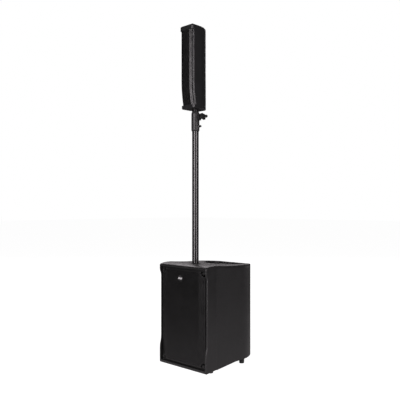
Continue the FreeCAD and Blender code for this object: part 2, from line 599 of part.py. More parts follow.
def build_mains():
    """Mains inlet with its three blades, and the power rocker in its frame."""
    inlet = block(MAINS_X - 24, MAINS_X + 24, PANEL_OUT, PANEL_OUT + 2, MAINS_Z - 15, MAINS_Z + 15)
    inlet = inlet.fuse(block(MAINS_X - 14, MAINS_X + 14, PANEL_Y - 22, PANEL_OUT,
                             MAINS_Z - 11, MAINS_Z + 11))
    inlet = inlet.cut(block(MAINS_X - 12, MAINS_X + 12, PANEL_Y - 16, PANEL_OUT + 3,
                            MAINS_Z - 8, MAINS_Z + 8))
    for dx, dz in ((-7, -1.5), (7, -1.5), (0, 2.5)):
        x, z = MAINS_X + dx, MAINS_Z + dz
        inlet = inlet.fuse(block(x - 1, x + 1, PANEL_Y - 17, PANEL_Y - 4, z - 2, z + 2))
    export("mains_inlet", inlet)

    frame = block(ROCKER_X - 15, ROCKER_X + 15, PANEL_OUT, PANEL_OUT + 3, MAINS_Z - 20, MAINS_Z + 20)
    frame = frame.fuse(block(ROCKER_X - 12, ROCKER_X + 12, PANEL_Y - 20, PANEL_OUT,
                             MAINS_Z - 17, MAINS_Z + 17))
    frame = frame.cut(block(ROCKER_X - 10.4, ROCKER_X + 10.4, PANEL_Y - 16, PANEL_OUT + 4,
                            MAINS_Z - 15.6, MAINS_Z + 15.6))
    for x in (ROCKER_X - 10.4, ROCKER_X + 10.4 - 1.4):
        frame = frame.fuse(rod(1.6, Vector(x, ROCKER_PIVOT_Y, MAINS_Z), RIGHT, 1.4))
    export("rocker_frame", frame)

    inner_y, outer_y = ROCKER_PIVOT_Y - 7, ROCKER_PIVOT_Y + 11
    rocker = side_prism([(inner_y, MAINS_Z - 8), (outer_y, MAINS_Z - 13), (outer_y - 3, MAINS_Z),
                         (outer_y, MAINS_Z + 13), (inner_y, MAINS_Z + 8)], ROCKER_X - 10, ROCKER_X + 10)
    rocker = rocker.cut(rod(1.66, Vector(ROCKER_X - 11, ROCKER_PIVOT_Y, MAINS_Z), RIGHT, 22))
    rocker.rotate(Vector(0, ROCKER_PIVOT_Y, MAINS_Z), RIGHT, -ROCKER_TILT)
    export("power_rocker", rocker)


def build_controls():
    """Level knobs on their controls, push buttons on their switches, and the status lights."""
    controls = []
    for number, x in enumerate(KNOB_XS, 1):
        knob = Part.makeCone(9.5, 8.0, 14, Vector(x, PANEL_OUT + 1, CONTROL_Z), BACKWARD)
        for index in range(12):
            angle = math.radians(30 * index)
            start = Vector(x + 9.6 * math.cos(angle), PANEL_OUT, CONTROL_Z + 9.6 * math.sin(angle))
            knob = knob.cut(rod(1.1, start, BACKWARD, 20))
        knob = knob.cut(block(x - 0.7, x + 0.7, PANEL_OUT + 14.2, PANEL_OUT + 16,
                              CONTROL_Z + 1, CONTROL_Z + 9))
        knob = knob.fuse(rod(3.0, Vector(x, PANEL_Y - 3, CONTROL_Z), BACKWARD, 10))
        export("level_knob_" + str(number), knob)
        controls.append(block(x - 8, x + 8, PANEL_Y - 15, PANEL_Y - 3, CONTROL_Z - 8, CONTROL_Z + 8))

    for name, x in zip(("mode_button", "boost_button"), BUTTON_XS):
        cap = rod(4.2, Vector(x, PANEL_Y - 3, CONTROL_Z), BACKWARD, 13)
        rim = [edge for edge in cap.Edges if edge.BoundBox.YMin > PANEL_Y + 9]
        export(name, cap.makeFillet(1.0, rim))
        controls.append(block(x - 6, x + 6, PANEL_Y - 16, PANEL_Y - 5.5, CONTROL_Z - 6, CONTROL_Z + 6))
    export("control_bodies", *controls)

    lights = []
    for x in LIGHT_XS:
        lens = rod(1.5, Vector(x, PANEL_Y - 4, CONTROL_Z), BACKWARD, 8)
        lights.append(lens)
    export("status_lights", *lights)


def build_amp_inside():
    """Outside heat sink, and the board and toroidal supply behind the plate."""
    sink = block(-78, 78, PANEL_OUT, PANEL_OUT + 4, 338, 436)
    fins = [sink]
    for index in range(14):
        x = -75 + index * 150 / 13
        fins.append(block(x - 1.2, x + 1.2, PANEL_OUT + 4, PANEL_OUT + 18, 338, 436))
    export("heat_sink", joined(fins))
    board = block(-72, 72, 150, 152, 200, 400)
    parts = [board]
    capacitors = ((-45, 230, 11, 26), (-15, 230, 11, 26), (45, 370, 8, 18), (20, 370, 8, 18))
    for x, z, radius, height in capacitors:
        parts.append(rod(radius, Vector(x, 150 - height, z), BACKWARD, height))
    for x in (-66, 66):
        for z in (206, 394):
            parts.append(rod(3, Vector(x, 152, z), BACKWARD, PANEL_Y - 152))
    export("amp_board", joined(parts))
    export("toroidal_supply", tube(46, 12, Vector(-70, 100, BOTTOM_REAR_Z + PANEL_T), UP, 40))


# ---- pole ----
def pole_point(z):
    """A point on the pole's axis."""
    return Vector(0, POLE_Y, z)


def build_pole():
    """Lower and upper outer tubes with the screwed joint between them."""
    lower = tube(POLE_R, TUBE_BORE_R, pole_point(POLE_FOOT_Z), UP, POLE_JOINT_Z - POLE_FOOT_Z)
    groove = tube(POLE_R + 1, POLE_R - 0.5, pole_point(POLE_JOINT_Z - 0.8), UP, 0.8)
    export("lower_pole", lower.cut(groove))
    joint = tube(TUBE_BORE_R, 11, pole_point(POLE_JOINT_Z - 32), UP, 60)
    export("pole_joint", joint)

    upper = tube(POLE_R, TUBE_BORE_R, pole_point(POLE_JOINT_Z), UP, UPPER_POLE_TOP - POLE_JOINT_Z)
    upper = upper.cut(rod(PAD_R + 0.1, Vector(0, POLE_Y, CLAMP_Z), RIGHT, 30))
    upper = upper.cut(rod(PIN_R + 0.06, Vector(0, POLE_Y, INDEX_Z), RIGHT, 30))
    export("upper_pole", upper)


def build_collar():
    """Cast collar on top of the upper tube, with a boss for the clamp screw and one for the index pin."""
    body = rod(COLLAR_R, pole_point(COLLAR_LOW + 6), UP, COLLAR_HIGH - COLLAR_LOW - 21)
    foot = Part.makeCone(POLE_R + 1, COLLAR_R, 6, pole_point(COLLAR_LOW), UP)
    nose = Part.makeCone(COLLAR_R, POLE_R, 15, pole_point(COLLAR_HIGH - 15), UP)
    boss = rod(12, Vector(0, POLE_Y, CLAMP_Z), RIGHT, 38)
    boss = boss.fuse(block(0, 32, POLE_Y - 10, POLE_Y + 10, CLAMP_Z - 17, CLAMP_Z + 17))
    pin_boss = rod(7.5, Vector(0, POLE_Y, INDEX_Z), RIGHT, 25)
    collar = joined([body, foot, nose, boss, pin_boss])
    collar = collar.cut(rod(POLE_R, pole_point(COLLAR_LOW - 1), UP, UPPER_POLE_TOP - COLLAR_LOW + 1))
    collar = collar.cut(rod(16.2, pole_point(UPPER_POLE_TOP - 1), UP, 40))
    collar = collar.cut(rod(PAD_R + 0.1, Vector(0, POLE_Y, CLAMP_Z), RIGHT, 24.5))
    collar = collar.cut(rod(SCREW_R + 0.06, Vector(0, POLE_Y, CLAMP_Z), RIGHT, 50))
    collar = collar.cut(rod(5.5, Vector(0, POLE_Y, INDEX_Z), RIGHT, 30))
    export("height_collar", collar)
    sleeve = tube(16.2, TUBE_BORE_R, pole_point(UPPER_POLE_TOP), UP, COLLAR_HIGH - UPPER_POLE_TOP)
    export("collar_bush", sleeve)
    bush = tube(5.5, PIN_R + 0.06, Vector(POLE_R, POLE_Y, INDEX_Z), RIGHT, 11)
    export("index_pin_bush", bush.fuse(tube(6.5, PIN_R + 0.06, Vector(25, POLE_Y, INDEX_Z), RIGHT, 3.5)))


def build_clamp():
    """Clamp pad, screw, fluted knob with its ball-ended lever, and the pull-out index pin."""
    export("clamp_pad", rod(PAD_R, Vector(INNER_R + 0.1, POLE_Y, CLAMP_Z), RIGHT, 21 - INNER_R - 0.1))
    export("clamp_screw", rod(SCREW_R, Vector(21, POLE_Y, CLAMP_Z), RIGHT, KNOB_X - 21))
    hub = rod(13, Vector(KNOB_X, POLE_Y, CLAMP_Z), RIGHT, 13)
    parts = [hub]
    for angle in (130, 218, 306):
        reach = Vector(0, math.cos(math.radians(angle)), math.sin(math.radians(angle)))
        centre = Vector(KNOB_X, POLE_Y, CLAMP_Z) + reach * 13
        parts.append(rod(6.5, centre, RIGHT, 11))
    lever_way = Vector(0, math.cos(math.radians(10)), math.sin(math.radians(10)))
    lever_start = Vector(KNOB_X + 6.5, POLE_Y, CLAMP_Z)
    parts.append(Part.makeCone(5.0, 3.2, LEVER_LENGTH - 2, lever_start, lever_way))
    parts.append(Part.makeSphere(LEVER_BALL_R, lever_start + lever_way * LEVER_LENGTH))
    export("clamp_knob", joined(parts))
    pin = rod(PIN_R, Vector(13.6, POLE_Y, INDEX_Z), RIGHT, 22)
    pull = rod(4.0, Vector(29.5, POLE_Y, INDEX_Z), RIGHT, 3)
    pull = pull.fuse(Part.makeSphere(PIN_BALL_R, Vector(30.5 + PIN_BALL_R, POLE_Y, INDEX_Z)))
    export("index_pin", pin.fuse(pull))


def build_inner_pole():
    """Sliding inner tube with a keyway for the index pin, and the plug in its foot."""
    inner = tube(INNER_R, 12.6, pole_point(INNER_POLE_LOW), UP, INNER_POLE_TOP - INNER_POLE_LOW)
    keyway_low = INDEX_Z - LIFT_HEIGHT - 6
    keyway = block(10, INNER_R + 1, POLE_Y - PIN_R - 0.3, POLE_Y + PIN_R + 0.3, keyway_low, INDEX_Z + 6)
    export("inner_pole", inner.cut(keyway))
    export("inner_pole_plug", rod(12.6, pole_point(INNER_POLE_LOW + 0.5), UP, 10))


# ---- satellite ----
def satellite_plan(inset, y_front, front_r, z_low, z_high):
    """A prism of the satellite's plan, inset evenly, with sides that curve in at the rear."""
    half = SAT_HALF - inset
    radius = SAT_SIDE_R - inset
    centre_x = SAT_HALF - SAT_SIDE_R
    y_back = SAT_BACK - inset
    end_angle = math.asin((y_back - SAT_SIDE_BEND) / radius)
    end_x = centre_x + radius * math.cos(end_angle)
    mid_x = centre_x + radius * math.cos(end_angle / 2)
    mid_y = SAT_SIDE_BEND + radius * math.sin(end_angle / 2)
    turn = 1 - math.cos(math.radians(45))

    def at(x, y):
        return Vector(x, y, z_low)

    edges = [Part.makeLine(at(-half + front_r, y_front), at(half - front_r, y_front)),
             Part.makeLine(at(-end_x, y_back), at(end_x, y_back))]
    for side in (1, -1):
        edges.append(Part.Arc(at(side * (half - front_r), y_front),
                              at(side * (half - front_r * turn), y_front + front_r * turn),
                              at(side * half, y_front + front_r)).toShape())
        edges.append(Part.makeLine(at(side * half, y_front + front_r), at(side * half, SAT_SIDE_BEND)))
        edges.append(Part.Arc(at(side * half, SAT_SIDE_BEND), at(side * mid_x, mid_y),
                              at(side * end_x, y_back)).toShape())
    prism = Part.Face(Part.Wire(Part.__sortEdges__(edges))).extrude(Vector(0, 0, z_high - z_low))
    rear = [edge for edge in prism.Edges if edge.BoundBox.ZLength > 1 and edge.CenterOfMass.y > y_back - 1]
    return prism.makeFillet(SAT_CORNER_R - inset, rear)


def satellite_front_path(y, z_low, z_high):
    """Edges of the satellite's front line in the YZ plane: straight, then curving back towards its foot."""
    drop = SAT_BEND_Z - z_low
    end_angle = math.asin(drop / SAT_BEND_R)

    def on_arc(angle):
        return Vector(0, y + SAT_BEND_R * (1 - math.cos(angle)), SAT_BEND_Z - SAT_BEND_R * math.sin(angle))

    straight = Part.makeLine(Vector(0, y, z_high), Vector(0, y, SAT_BEND_Z))
    curve = Part.Arc(Vector(0, y, SAT_BEND_Z), on_arc(end_angle / 2), on_arc(end_angle)).toShape()
    return [straight, curve]


def build_satellite_shell():
    """Moulded rear shell: back, sides and the two front edge rails, whose lower ends curve back."""
    low, high = SAT_BOTTOM_CAP_TOP, SAT_TOP_CAP_LOW
    shell = satellite_plan(0, SAT_RAIL_FRONT - 15, 0.5, low, high)
    path = satellite_front_path(SAT_RAIL_FRONT, low, high)
    start = path[0].Vertexes[0].Point
    end = path[1].Vertexes[-1].Point
    far_low = Vector(0, FRONT, low)
    far_high = Vector(0, FRONT, high)
    front_space = Part.Wire(path + [Part.makeLine(end, far_low), Part.makeLine(far_low, far_high),
                                    Part.makeLine(far_high, start)])
    cutter = Part.Face(front_space).extrude(Vector(100, 0, 0))
    cutter = cutter.fuse(cutter.mirror(Vector(0, 0, 0), RIGHT))
    shell = shell.cut(cutter)
    rail_edges = [edge for edge in shell.Edges if on_satellite_rail(edge)]
    shell = shell.makeFillet(SAT_RAIL_R, rail_edges)
    cavity = satellite_plan(SAT_WALL, SAT_BAFFLE_Y, 0.5, low - 1, high + 1)
    slot_half = SAT_HALF - SAT_RAIL_W
    slot = block(-slot_half, slot_half, SAT_RAIL_FRONT - 1, SAT_BAFFLE_Y + 1, low - 1, high + 1)
    shell = shell.cut(cavity).cut(slot)
    shell = shell.cut(rod(12.1, Vector(0, SAT_BACK - 6, SAT_INLET_Z), BACKWARD, 10))
    export("satellite_shell", shell)


def on_satellite_rail(edge):
    """True for the two outer front edges of the shell, straight and curved parts alike."""
    middle = edge.CenterOfMass
    return abs(middle.x) > SAT_HALF - 1 and edge.BoundBox.ZLength > 50 and middle.y < SAT_RAIL_FRONT + 20


def build_satellite_caps():
    """Rounded top cap and the bottom cap with the hole for the pole cup."""
    top = satellite_plan(0, SAT_CAP_FRONT, SAT_CAP_R, SAT_TOP_CAP_LOW, SAT_HIGH)
    rim = [edge for edge in top.Edges if edge.BoundBox.ZMin > SAT_HIGH - 1]
    top = top.makeFillet(9.0, rim)
    hollow = satellite_plan(4, SAT_CAP_FRONT + 4, SAT_CAP_R - 4, SAT_TOP_CAP_LOW - 1, SAT_HIGH - 8)
    export("satellite_top_cap", top.cut(hollow))

    bottom = satellite_plan(0, SAT_FOOT_FRONT, SAT_CAP_R, SAT_LOW, SAT_BOTTOM_CAP_TOP)
    rim = [edge for edge in bottom.Edges if edge.BoundBox.ZMax < SAT_LOW + 1]
    bottom = bottom.makeFillet(6.0, rim)
    hollow = satellite_plan(4, SAT_FOOT_FRONT + 4, SAT_CAP_R - 4, SAT_LOW + 6, SAT_BOTTOM_CAP_TOP + 1)
    bottom = bottom.cut(hollow).cut(rod(CUP_R, pole_point(SAT_LOW - 1), UP, 20))
    screws = []
    for x in (-30, 30):
        place = Vector(x, POLE_Y + 30, SAT_LOW - 1)
        bottom = bottom.cut(rod(3.4, place, UP, 5))
        screws.append(rod(3.4, place + Vector(0, 0, 1.6), UP, 3.4))
    export("satellite_bottom_cap", bottom)
    export("satellite_cap_screws", *screws)


def build_satellite_cup():
    """Blind cup in the satellite's foot that sits on the inner tube and turns on it."""
    cup = rod(CUP_R, pole_point(SAT_LOW), UP, INNER_POLE_TOP + 4 - SAT_LOW)
    cup = cup.cut(rod(TUBE_BORE_R, pole_point(SAT_LOW - 1), UP, INNER_POLE_TOP - SAT_LOW + 1))
    export("satellite_pole_cup", cup)


def build_satellite_grille():
    """Bent grille with a narrow flat front and bevelled sides, swept along the curving front line."""
    top = SAT_TOP_CAP_LOW - 1.5
    front = SAT_RAIL_FRONT - SAT_GRILLE_BEVEL
    back = front + SAT_GRILLE_BEVEL
    edge_half = SAT_GRILLE_HALF
    flat_half = SAT_GRILLE_FLAT_HALF
    inner_half = edge_half - GRILLE_T
    inner_back = back + GRILLE_T * 0.7
    edge_y = back + SAT_GRILLE_RETURN
    outer = [(-edge_half, edge_y), (-edge_half, back), (-flat_half, front), (flat_half, front),
             (edge_half, back), (edge_half, edge_y)]
    inner = [(inner_half, edge_y), (inner_half, inner_back), (flat_half, front + GRILLE_T),
             (-flat_half, front + GRILLE_T), (-inner_half, inner_back), (-inner_half, edge_y)]
    section = polygon([Vector(x, y, top) for x, y in outer + inner])
    path = Part.Wire(satellite_front_path(front, SAT_BOTTOM_CAP_TOP + 1.5, top))
    grille = path.makePipeShell([section], True, False)
    export("satellite_grille", grille)


def driver_heights():
    """Heights of the driver centres, bottom to top."""
    return [DRIVER_FIRST_Z + index * DRIVER_PITCH for index in range(DRIVER_COUNT)]


def build_drivers():
    """Baffle with eight holes, and the frames, magnets and cones of the small drivers."""
    baffle = block(-SAT_BAFFLE_HALF, SAT_BAFFLE_HALF, SAT_BAFFLE_Y, SAT_BAFFLE_Y + SAT_BAFFLE_T,
                   SAT_BOTTOM_CAP_TOP + 2, SAT_TOP_CAP_LOW - 2)
    frames = []
    magnets = []
    cones = []
    for z in driver_heights():
        baffle = baffle.cut(rod(17.5, Vector(0, SAT_BAFFLE_Y - 1, z), BACKWARD, SAT_BAFFLE_T + 2))
        y = SAT_BAFFLE_Y
        frame = turned([(15.6, y - 1.5), (DRIVER_R, y - 1.5), (DRIVER_R, y), (17.2, y), (12, y + 14),
                        (12, y + 16), (5.4, y + 16), (5.4, y + 14), (10, y + 14), (15.6, y + 0.5)], 0, z)
        frames.append(frame)
        gap = tube(5.4, 4.0, Vector(0, y + 15, z), BACKWARD, 7)
        magnets.append(rod(15, Vector(0, y + 16, z), BACKWARD, 12).cut(gap))
        cones.append(turned([(0, y + 1.5), (4, y + 2.5), (5, y + 5), (15, y - 1), (15, y), (5, y + 6),
                             (5, y + 18), (4.3, y + 18), (4.3, y + 5.2), (3.5, y + 3.4), (0, y + 2.4)], 0, z))
    export("satellite_baffle", baffle)
    export("driver_frames", *frames)
    export("driver_magnets", *magnets)
    export("driver_cones", *cones)


def build_satellite_inlet():
    """Round loudspeaker inlet in the satellite's back."""
    flange = block(-13, 13, SAT_BACK, SAT_BACK + 2, SAT_INLET_Z - 15.5, SAT_INLET_Z + 15.5)
    inlet = flange.fuse(rod(12, Vector(0, SAT_BACK - 20, SAT_INLET_Z), BACKWARD, 20))
    inlet = inlet.cut(rod(10, Vector(0, SAT_BACK - 17, SAT_INLET_Z), BACKWARD, 20))
    export("satellite_inlet", inlet.fuse(rod(6, Vector(0, SAT_BACK - 18, SAT_INLET_Z), BACKWARD, 12)))


def build_all():
    os.makedirs("parts", exist_ok=True)
    build_cabinet_sides()
    build_cabinet_bottom()
    build_rear_rails()
    build_front_baffle()
    build_ports()
    build_front_bezel()
    build_grille()
    screws = build_grille_details()
    build_top_deck()
    screws += build_pole_socket()
    screws += build_feet()
    export("cabinet_screws", *screws)
    build_woofer()
    build_amp_panel()
    build_sockets()
    build_mains()
    build_controls()
    build_amp_inside()
    build_pole()
    build_collar()
    build_clamp()
    build_inner_pole()
    build_satellite_shell()
    build_satellite_caps()
    build_satellite_cup()
    build_satellite_grille()
    build_drivers()
    build_satellite_inlet()


build_all()
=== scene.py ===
import json
import math

import bmesh
import bpy
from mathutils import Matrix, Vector

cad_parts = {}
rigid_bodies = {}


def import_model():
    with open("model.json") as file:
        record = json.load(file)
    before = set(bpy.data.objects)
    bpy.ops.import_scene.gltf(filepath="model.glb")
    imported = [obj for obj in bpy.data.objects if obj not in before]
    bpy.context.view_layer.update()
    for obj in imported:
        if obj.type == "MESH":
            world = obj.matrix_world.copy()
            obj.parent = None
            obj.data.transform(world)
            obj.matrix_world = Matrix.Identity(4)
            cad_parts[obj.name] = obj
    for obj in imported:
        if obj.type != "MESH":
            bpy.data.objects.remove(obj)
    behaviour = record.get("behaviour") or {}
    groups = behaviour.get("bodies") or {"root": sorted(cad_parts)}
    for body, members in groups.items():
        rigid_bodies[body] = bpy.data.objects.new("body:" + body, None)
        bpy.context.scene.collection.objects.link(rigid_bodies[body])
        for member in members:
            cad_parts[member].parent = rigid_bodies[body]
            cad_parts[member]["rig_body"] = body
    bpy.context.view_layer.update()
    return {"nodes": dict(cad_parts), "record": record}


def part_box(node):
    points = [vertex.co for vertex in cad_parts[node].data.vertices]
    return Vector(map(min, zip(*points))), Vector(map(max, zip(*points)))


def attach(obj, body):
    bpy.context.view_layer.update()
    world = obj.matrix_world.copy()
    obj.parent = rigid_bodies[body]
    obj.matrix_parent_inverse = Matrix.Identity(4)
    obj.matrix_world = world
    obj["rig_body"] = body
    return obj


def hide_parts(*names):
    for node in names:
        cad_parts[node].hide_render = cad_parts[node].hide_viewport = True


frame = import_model()
NODES = frame["nodes"]
SLOT_OF = {part["node"]: part["material_slot"] for part in frame["record"]["subparts"]}
MM = 0.001


# ---- materials ----
class Shader:
    """A Principled material whose colour, roughness and relief come from noise in the object's own space."""

    def __init__(self, name, colour, roughness, metallic=0.0, specular=0.5, coat=0.0, sheen=0.0):
        self.material = bpy.data.materials.new(name)
        self.material.use_nodes = True
        self.tree = self.material.node_tree
        self.bsdf = self.tree.nodes["Principled BSDF"]
        self.colour = tuple(colour) + (1.0,)
        self.roughness = roughness
        self.bsdf.inputs["Base Color"].default_value = self.colour
        self.bsdf.inputs["Roughness"].default_value = roughness
        self.bsdf.inputs["Metallic"].default_value = metallic
        self.bsdf.inputs["Specular IOR Level"].default_value = specular
        self.bsdf.inputs["Coat Weight"].default_value = coat
        self.bsdf.inputs["Coat Roughness"].default_value = 0.2
        self.bsdf.inputs["Sheen Weight"].default_value = sheen
        self.place = self.node("ShaderNodeTexCoord").outputs["Object"]
        self.normal = None
        self.paint = None

    def node(self, kind, **inputs):
        made = self.tree.nodes.new(kind)
        for key, value in inputs.items():
            made.inputs[key.replace("_", " ")].default_value = value
        return made

    def link(self, source, target):
        self.tree.links.new(source, target)

    def stretched(self, scale):
        """The place scaled by different amounts along X, Y and Z."""
        mapping = self.node("ShaderNodeMapping")
        mapping.inputs["Scale"].default_value = scale
        self.link(self.place, mapping.inputs["Vector"])
        return mapping.outputs["Vector"]

    def noise(self, scale, detail=4.0, place=None, rough=0.5):
        made = self.node("ShaderNodeTexNoise", Scale=scale, Detail=detail, Roughness=rough)
        self.link(place or self.place, made.inputs["Vector"])
        return made.outputs["Fac"]

    def cells(self, scale):
        made = self.node("ShaderNodeTexVoronoi", Scale=scale)
        self.link(self.place, made.inputs["Vector"])
        return made.outputs["Distance"]

    def ramp(self, value, low, high, out_low=0.0, out_high=1.0):
        made = self.node("ShaderNodeMapRange")
        made.inputs["From Min"].default_value = low
        made.inputs["From Max"].default_value = high
        made.inputs["To Min"].default_value = out_low
        made.inputs["To Max"].default_value = out_high
        self.link(value, made.inputs["Value"])
        return made.outputs["Result"]

    def math(self, operation, first, second):
        made = self.node("ShaderNodeMath")
        made.operation = operation
        for socket, value in zip(made.inputs, (first, second)):
            if isinstance(value, (int, float)):
                socket.default_value = value
            else:
                self.link(value, socket)
        return made.outputs[0]

    def along(self, axis):
        """The place along X, Y or Z."""
        made = self.node("ShaderNodeSeparateXYZ")
        self.link(self.place, made.inputs[0])
        return made.outputs[axis]

    def tint(self, value, colour):
        """Mixes another colour in where value is high."""
        mix = self.node("ShaderNodeMix")
        mix.data_type = "RGBA"
        self.link(value, mix.inputs["Factor"])
        if self.paint is None:
            mix.inputs["A"].default_value = self.colour
        else:
            self.link(self.paint, mix.inputs["A"])
        mix.inputs["B"].default_value = tuple(colour) + (1.0,)
        self.paint = mix.outputs["Result"]
        self.link(self.paint, self.bsdf.inputs["Base Color"])
        return self

    def blotches(self, scale, spread, rough_spread=0.0):
        """Slow changes of colour and gloss."""
        value = self.noise(scale, 5.0)
        lighter = tuple(min(1.0, channel * (1 + spread)) for channel in self.colour[:3])
        self.tint(self.ramp(value, 0.3, 0.7), lighter)
        if rough_spread:
            gloss = self.noise(scale * 2.3, 5.0)
            smooth, dull = self.roughness - rough_spread, self.roughness + rough_spread
            self.link(self.ramp(gloss, 0.3, 0.7, smooth, dull), self.bsdf.inputs["Roughness"])
        return self

    def relief(self, height, depth, strength=1.0):
        """Adds bumps of a given depth in metres."""
        bump = self.node("ShaderNodeBump", Strength=strength, Distance=depth)
        self.link(height, bump.inputs["Height"])
        if self.normal is not None:
            self.link(self.normal, bump.inputs["Normal"])
        self.normal = bump.outputs["Normal"]
        self.link(self.normal, self.bsdf.inputs["Normal"])
        return self

    def soft_edges(self, radius, wear_and_highlight=None, amount=0.5):
        """Rounds hard edges in the shading, and paints them lighter: partly wear, partly a painted highlight
        along the edges.
        """
        bevel = self.node("ShaderNodeBevel", Radius=radius)
        bevel.samples = 4
        if wear_and_highlight is not None:
            plain = self.node("ShaderNodeNewGeometry").outputs["Normal"]
            dot = self.node("ShaderNodeVectorMath")
            dot.operation = "DOT_PRODUCT"
            self.link(bevel.outputs["Normal"], dot.inputs[0])
            self.link(plain, dot.inputs[1])
            # painted highlight and wear: edges turn lighter where the bevelled normal leaves the face's own,
            # mottled by noise
            edge = self.ramp(dot.outputs["Value"], 0.995, 0.85, 0.0, amount)
            self.tint(self.math("MULTIPLY", edge, self.ramp(self.noise(160), 0.35, 0.7)), wear_and_highlight)
        self.normal = bevel.outputs["Normal"]
        self.link(self.normal, self.bsdf.inputs["Normal"])
        return self


def grey(value, warmth=0.0):
    """A near-neutral colour."""
    return (value * (1 + warmth), value, value * (1 - warmth))


def make_materials():
    made = {}

    def add(slot, shader):
        made[slot] = shader.material

    s = Shader("cabinet_black", grey(0.0085), 0.5, specular=0.4).soft_edges(0.0012, grey(0.06), 0.5)
    s.blotches(9.0, 0.25, 0.05)
    s.relief(s.cells(620.0), 0.0003, 0.6).relief(s.noise(1500.0, 3.0), 0.00015, 0.5)
    add("cabinet_black", s)

    s = Shader("moulded_black", grey(0.0085), 0.4, specular=0.4).soft_edges(0.0015, grey(0.05), 0.4)
    s.blotches(14.0, 0.3, 0.05)
    s.relief(s.noise(2100.0, 2.0), 0.00012, 0.5)
    add("moulded_black", s)

    s = Shader("satellite_black", grey(0.0125, -0.03), 0.31, specular=0.45)
    s.soft_edges(0.001, grey(0.05), 0.35)
    s.blotches(18.0, 0.3, 0.04)
    s.relief(s.noise(2400.0, 2.0), 0.0001, 0.45)
    add("satellite_black", s)

    s = Shader("grille_black", grey(0.0062), 0.36, specular=0.42)
    s.blotches(12.0, 0.3, 0.05)
    s.relief(s.noise(1800.0, 2.0), 0.0001, 0.5)
    add("grille_black", s)

    s = Shader("foam_black", grey(0.006), 0.95, specular=0.1, sheen=0.1)
    s.tint(s.ramp(s.cells(800.0), 0.2, 0.6), grey(0.002))
    s.relief(s.cells(800.0), 0.0008, 0.8).relief(s.noise(2000.0), 0.0003, 0.6)
    add("foam_black", s)

    s = Shader("rubber_black", grey(0.011), 0.75, specular=0.3).soft_edges(0.0012, grey(0.05), 0.4)
    s.blotches(40.0, 0.5, 0.05)
    s.relief(s.noise(1400.0, 3.0), 0.0001, 0.5)
    add("rubber_black", s)

    s = Shader("pole_black", grey(0.006), 0.2, specular=0.5).soft_edges(0.0006)
    s.blotches(15.0, 0.3, 0.04)
    s.relief(s.noise(2200.0, 2.0), 0.00006, 0.4)
    add("pole_black", s)

    s = Shader("inner_black", grey(0.016), 0.32, metallic=0.6, specular=0.5).soft_edges(0.0006)
    s.blotches(20.0, 0.4, 0.05)
    s.relief(s.noise(500.0, 2.0, s.stretched((1.0, 1.0, 0.02))), 0.00004, 0.5)
    add("inner_black", s)

    s = Shader("collar_black", grey(0.01), 0.42, specular=0.4).soft_edges(0.0012, grey(0.08), 0.5)
    s.blotches(40.0, 0.4, 0.06)
    s.relief(s.noise(1700.0, 3.0), 0.00014, 0.6)
    add("collar_black", s)

    s = Shader("knob_black", grey(0.009), 0.5, specular=0.25).soft_edges(0.0012, grey(0.05), 0.5)
    s.blotches(60.0, 0.4, 0.06)
    s.relief(s.noise(1900.0, 2.0), 0.0001, 0.5)
    add("knob_black", s)

    s = Shader("bush_black", grey(0.012), 0.4, specular=0.4).soft_edges(0.0006)
    s.blotches(50.0, 0.4, 0.05)
    s.relief(s.noise(1600.0, 2.0), 0.00008, 0.4)
    add("bush_black", s)

    s = Shader("socket_black", grey(0.02), 0.35, metallic=0.3, specular=0.5)
    s.soft_edges(0.001, grey(0.12), 0.6)
    s.blotches(40.0, 0.4, 0.06)
    s.relief(s.noise(1500.0, 3.0), 0.0001, 0.5)
    add("socket_black", s)

    s = Shader("basket_black", grey(0.015), 0.5, specular=0.4).soft_edges(0.001)
    s.blotches(30.0, 0.4, 0.05)
    s.relief(s.noise(900.0, 4.0), 0.0002, 0.6)
    add("basket_black", s)

    s = Shader("panel_black", grey(0.016), 0.5, specular=0.4).soft_edges(0.0008, grey(0.15), 0.5)
    s.blotches(10.0, 0.3, 0.06)
    s.relief(s.noise(1300.0, 3.0), 0.00014, 0.6)
    add("panel_black", s)

    s = Shader("connector_black", grey(0.012), 0.3, specular=0.45).soft_edges(0.0006, grey(0.06), 0.4)
    s.blotches(60.0, 0.4, 0.08)
    s.relief(s.noise(1800.0, 2.0), 0.00005, 0.4)
    add("connector_black", s)

    s = Shader("button_black", grey(0.02), 0.5, specular=0.4).soft_edges(0.0007, grey(0.08), 0.5)
    s.blotches(90.0, 0.3, 0.06)
    s.relief(s.noise(2200.0, 2.0), 0.00006, 0.5)
    add("button_black", s)

    s = Shader("heat_sink_black", grey(0.02), 0.4, metallic=0.7, specular=0.5)
    s.soft_edges(0.0005, grey(0.3), 0.6)
    s.blotches(30.0, 0.4, 0.06)
    s.relief(s.noise(700.0, 2.0, s.stretched((1.0, 1.0, 0.03))), 0.0001, 0.6)
    add("heat_sink_black", s)

    s = Shader("screw_black", grey(0.02), 0.35, metallic=0.5, specular=0.5).soft_edges(0.0005, grey(0.3), 0.6)
    s.blotches(200.0, 0.6, 0.08)
    s.relief(s.noise(2500.0, 2.0), 0.00005, 0.4)
    add("screw_black", s)

    s = Shader("badge_silver", grey(0.6), 0.35, metallic=0.35).soft_edges(0.0005)
    s.blotches(120.0, -0.12, 0.05)
    s.relief(s.noise(900.0, 3.0, s.stretched((1.0, 1.0, 0.05))), 0.00004, 0.5)
    add("badge_silver", s)

    s = Shader("steel", grey(0.55), 0.3, metallic=1.0).soft_edges(0.0006)
    s.blotches(90.0, -0.25, 0.08)
    s.relief(s.noise(1400.0, 3.0, s.stretched((0.1, 1.0, 1.0))), 0.00005, 0.5)
    add("steel", s)

    s = Shader("magnet_grey", grey(0.09), 0.6, metallic=0.3).soft_edges(0.001)
    s.blotches(50.0, 0.5, 0.08)
    s.relief(s.noise(1100.0, 4.0), 0.00015, 0.6)
    add("magnet_grey", s)

    s = Shader("cone_black", grey(0.012), 0.7, specular=0.3)
    s.blotches(60.0, 0.7, 0.08)
    s.relief(s.noise(420.0, 6.0), 0.0004, 0.7)
    add("cone_black", s)

